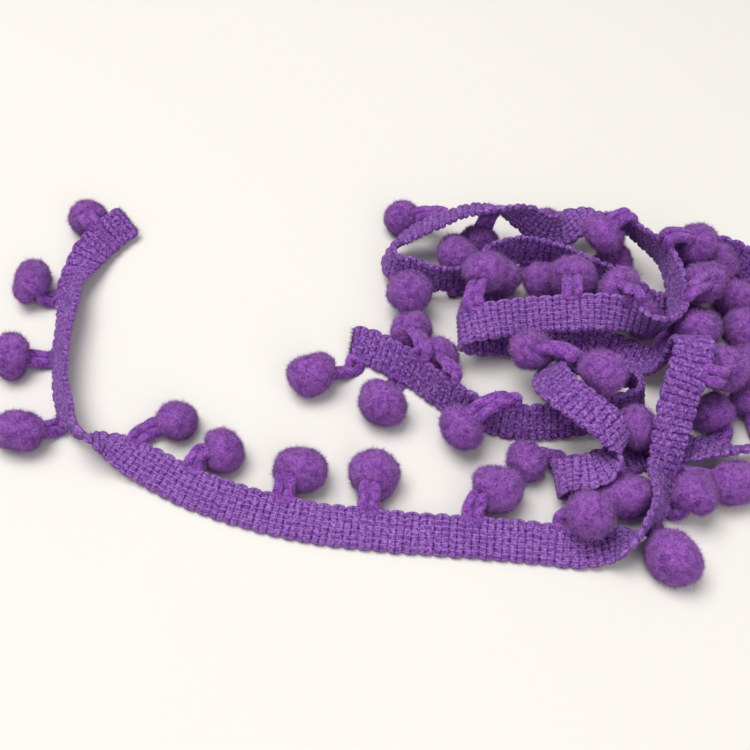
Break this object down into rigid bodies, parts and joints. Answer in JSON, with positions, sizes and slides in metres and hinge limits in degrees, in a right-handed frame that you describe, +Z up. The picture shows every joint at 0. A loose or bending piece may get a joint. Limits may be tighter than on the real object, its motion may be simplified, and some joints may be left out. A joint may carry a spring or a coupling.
{
  "type": "pompom fringe trim",
  "caption": "Woven scalloped tape with a fringe of felted pompoms on short yarn loops, lying in a loose pile with one end run out along the table.",
  "frame": {"origin": "middle of the footprint, on the surface that the trim lies on", "axes": "+X to the right along the open run, +Y away from the viewer, +Z up"},
  "size_m": [0.1928, 0.1094, 0.0219],
  "materials": {
    "tape_yarn": "matte woven yarn",
    "pompom_pile": "matte felted pile"
  },
  "bodies": {
    "root": {"tape": "tape_yarn", "pompom_01": "pompom_pile", "pompom_02": "pompom_pile", "pompom_03": "pompom_pile", "pompom_04": "pompom_pile", "pompom_05": "pompom_pile", "pompom_06": "pompom_pile", "pompom_07": "pompom_pile", "pompom_08": "pompom_pile", "pompom_09": "pompom_pile", "pompom_10": "pompom_pile", "pompom_11": "pompom_pile", "pompom_12": "pompom_pile", "pompom_13": "pompom_pile", "pompom_14": "pompom_pile", "pompom_15": "pompom_pile", "pompom_16": "pompom_pile", "pompom_17": "pompom_pile", "pompom_18": "pompom_pile", "pompom_19": "pompom_pile", "pompom_20": "pompom_pile", "pompom_21": "pompom_pile", "pompom_22": "pompom_pile", "pompom_23": "pompom_pile", "pompom_24": "pompom_pile", "pompom_25": "pompom_pile", "pompom_26": "pompom_pile", "pompom_27": "pompom_pile", "pompom_28": "pompom_pile", "pompom_29": "pompom_pile", "pompom_30": "pompom_pile", "pompom_31": "pompom_pile", "pompom_32": "pompom_pile", "pompom_33": "pompom_pile", "pompom_34": "pompom_pile", "pompom_35": "pompom_pile", "pompom_36": "pompom_pile", "pompom_37": "pompom_pile", "pompom_38": "pompom_pile", "pompom_39": "pompom_pile", "pompom_40": "pompom_pile", "pompom_41": "pompom_pile", "pompom_42": "pompom_pile", "pompom_43": "pompom_pile", "pompom_44": "pompom_pile", "pompom_45": "pompom_pile", "pompom_46": "pompom_pile", "pompom_47": "pompom_pile", "pompom_48": "pompom_pile", "pompom_49": "pompom_pile"}
  },
  "joints": []
}
